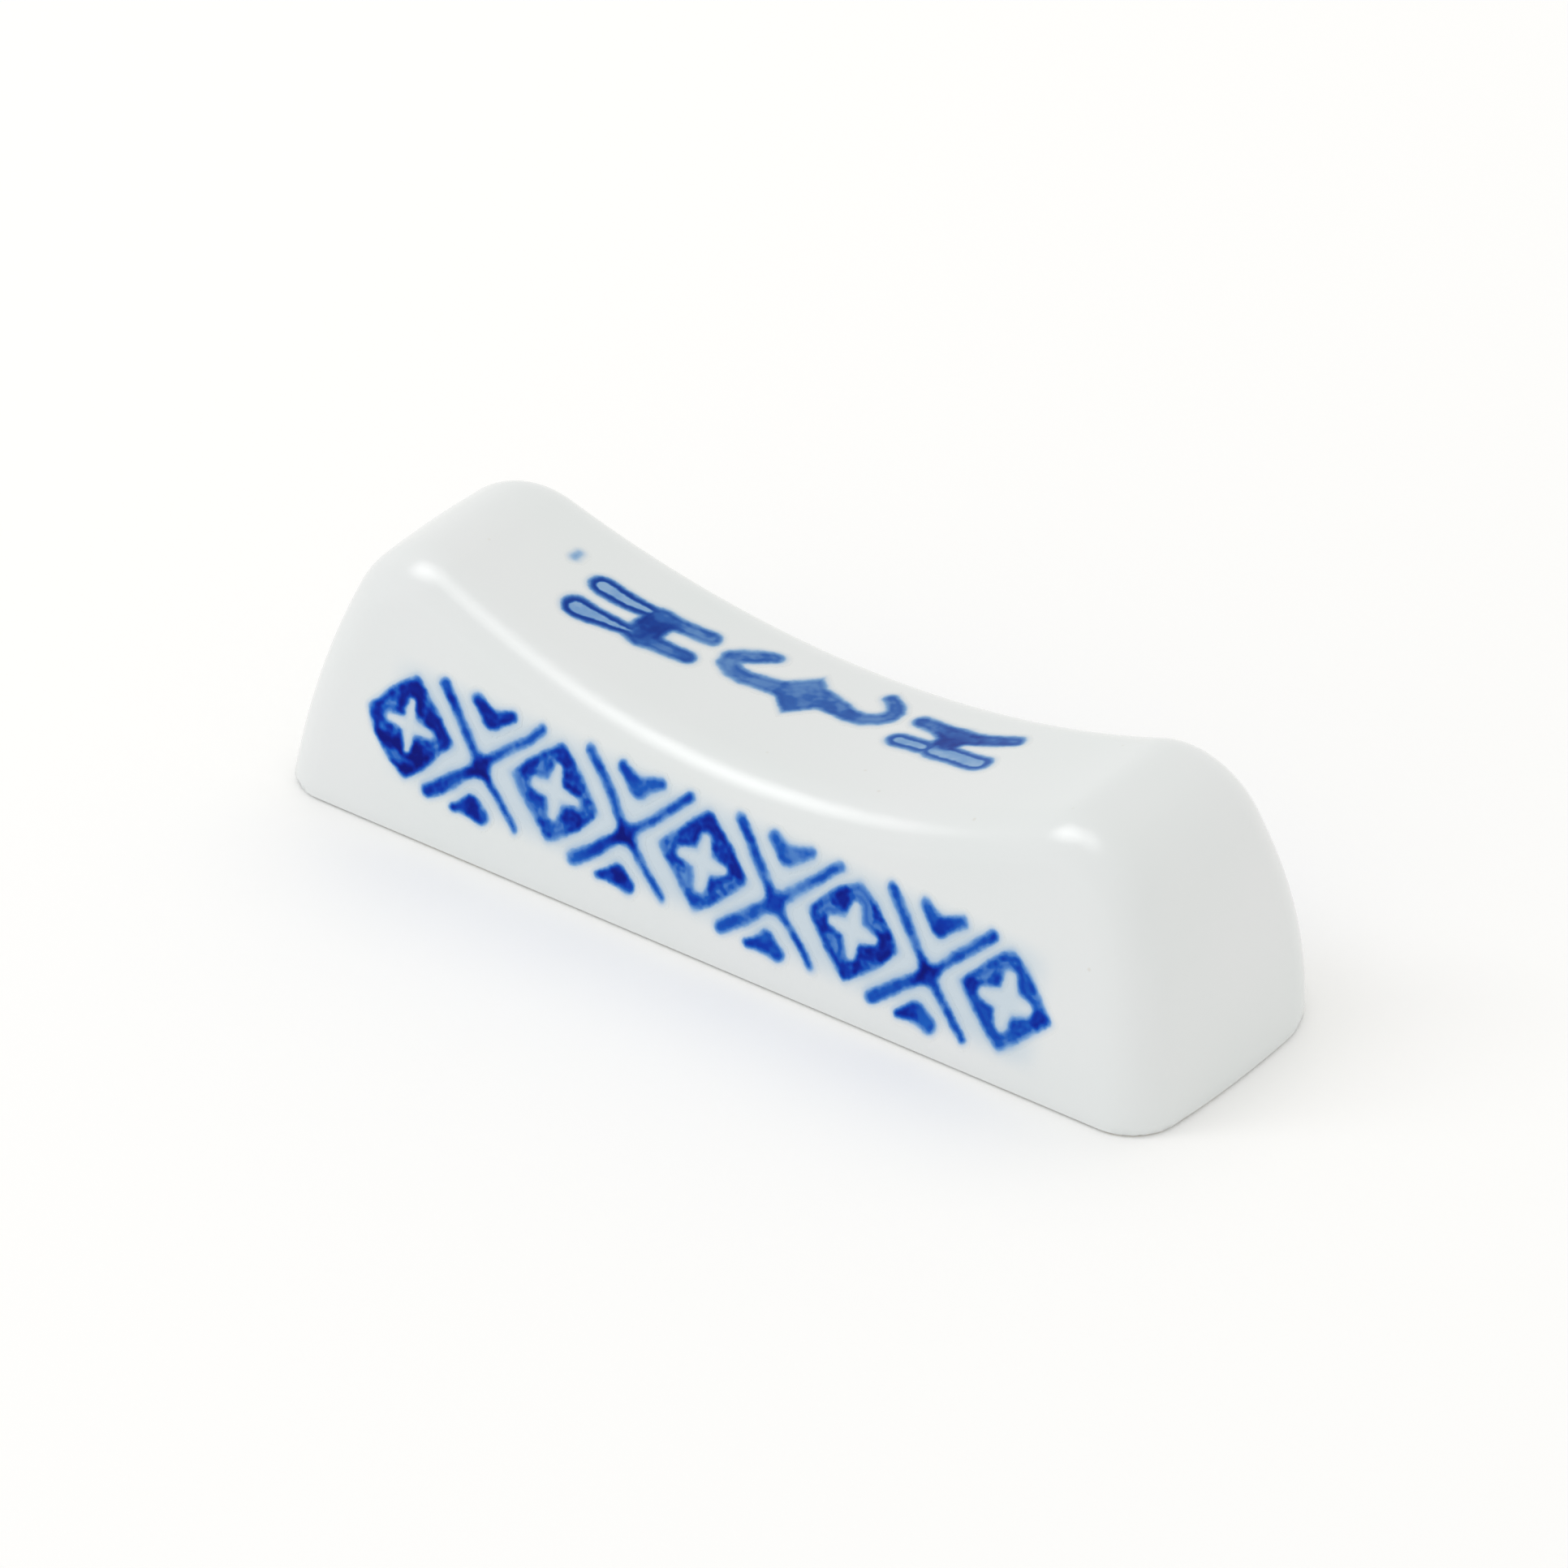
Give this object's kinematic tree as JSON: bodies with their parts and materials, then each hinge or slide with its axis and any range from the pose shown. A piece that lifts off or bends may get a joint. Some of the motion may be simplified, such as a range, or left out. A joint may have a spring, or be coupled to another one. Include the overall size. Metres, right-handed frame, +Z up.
{
  "type": "chopstick rest",
  "caption": "Saddle-shaped porcelain chopstick rest with drafted sides, hollow underside and a cobalt blue-and-white lattice band inlaid flush along its faces",
  "frame": {"origin": "Middle of the foot, on the table plane, at the middle of the bounding box's bottom.", "axes": "+X runs along the length of the rest, +Y from the front face to the back face, +Z up. Chopsticks lie across the saddle along Y."},
  "size_m": [0.0648, 0.0202, 0.0168],
  "materials": {
    "white_porcelain": "clear gloss glaze over white porcelain",
    "cobalt_print": "cobalt blue under clear gloss glaze"
  },
  "bodies": {
    "root": {"porcelain_body": "white_porcelain", "front_lozenges": "cobalt_print", "front_crosses": "cobalt_print", "front_upper_hearts": "cobalt_print", "front_lower_hearts": "cobalt_print", "back_lozenges": "cobalt_print", "back_crosses": "cobalt_print", "back_upper_hearts": "cobalt_print", "back_lower_hearts": "cobalt_print", "saddle_left_bow": "cobalt_print", "saddle_right_bow": "cobalt_print", "saddle_scroll": "cobalt_print"}
  },
  "joints": []
}
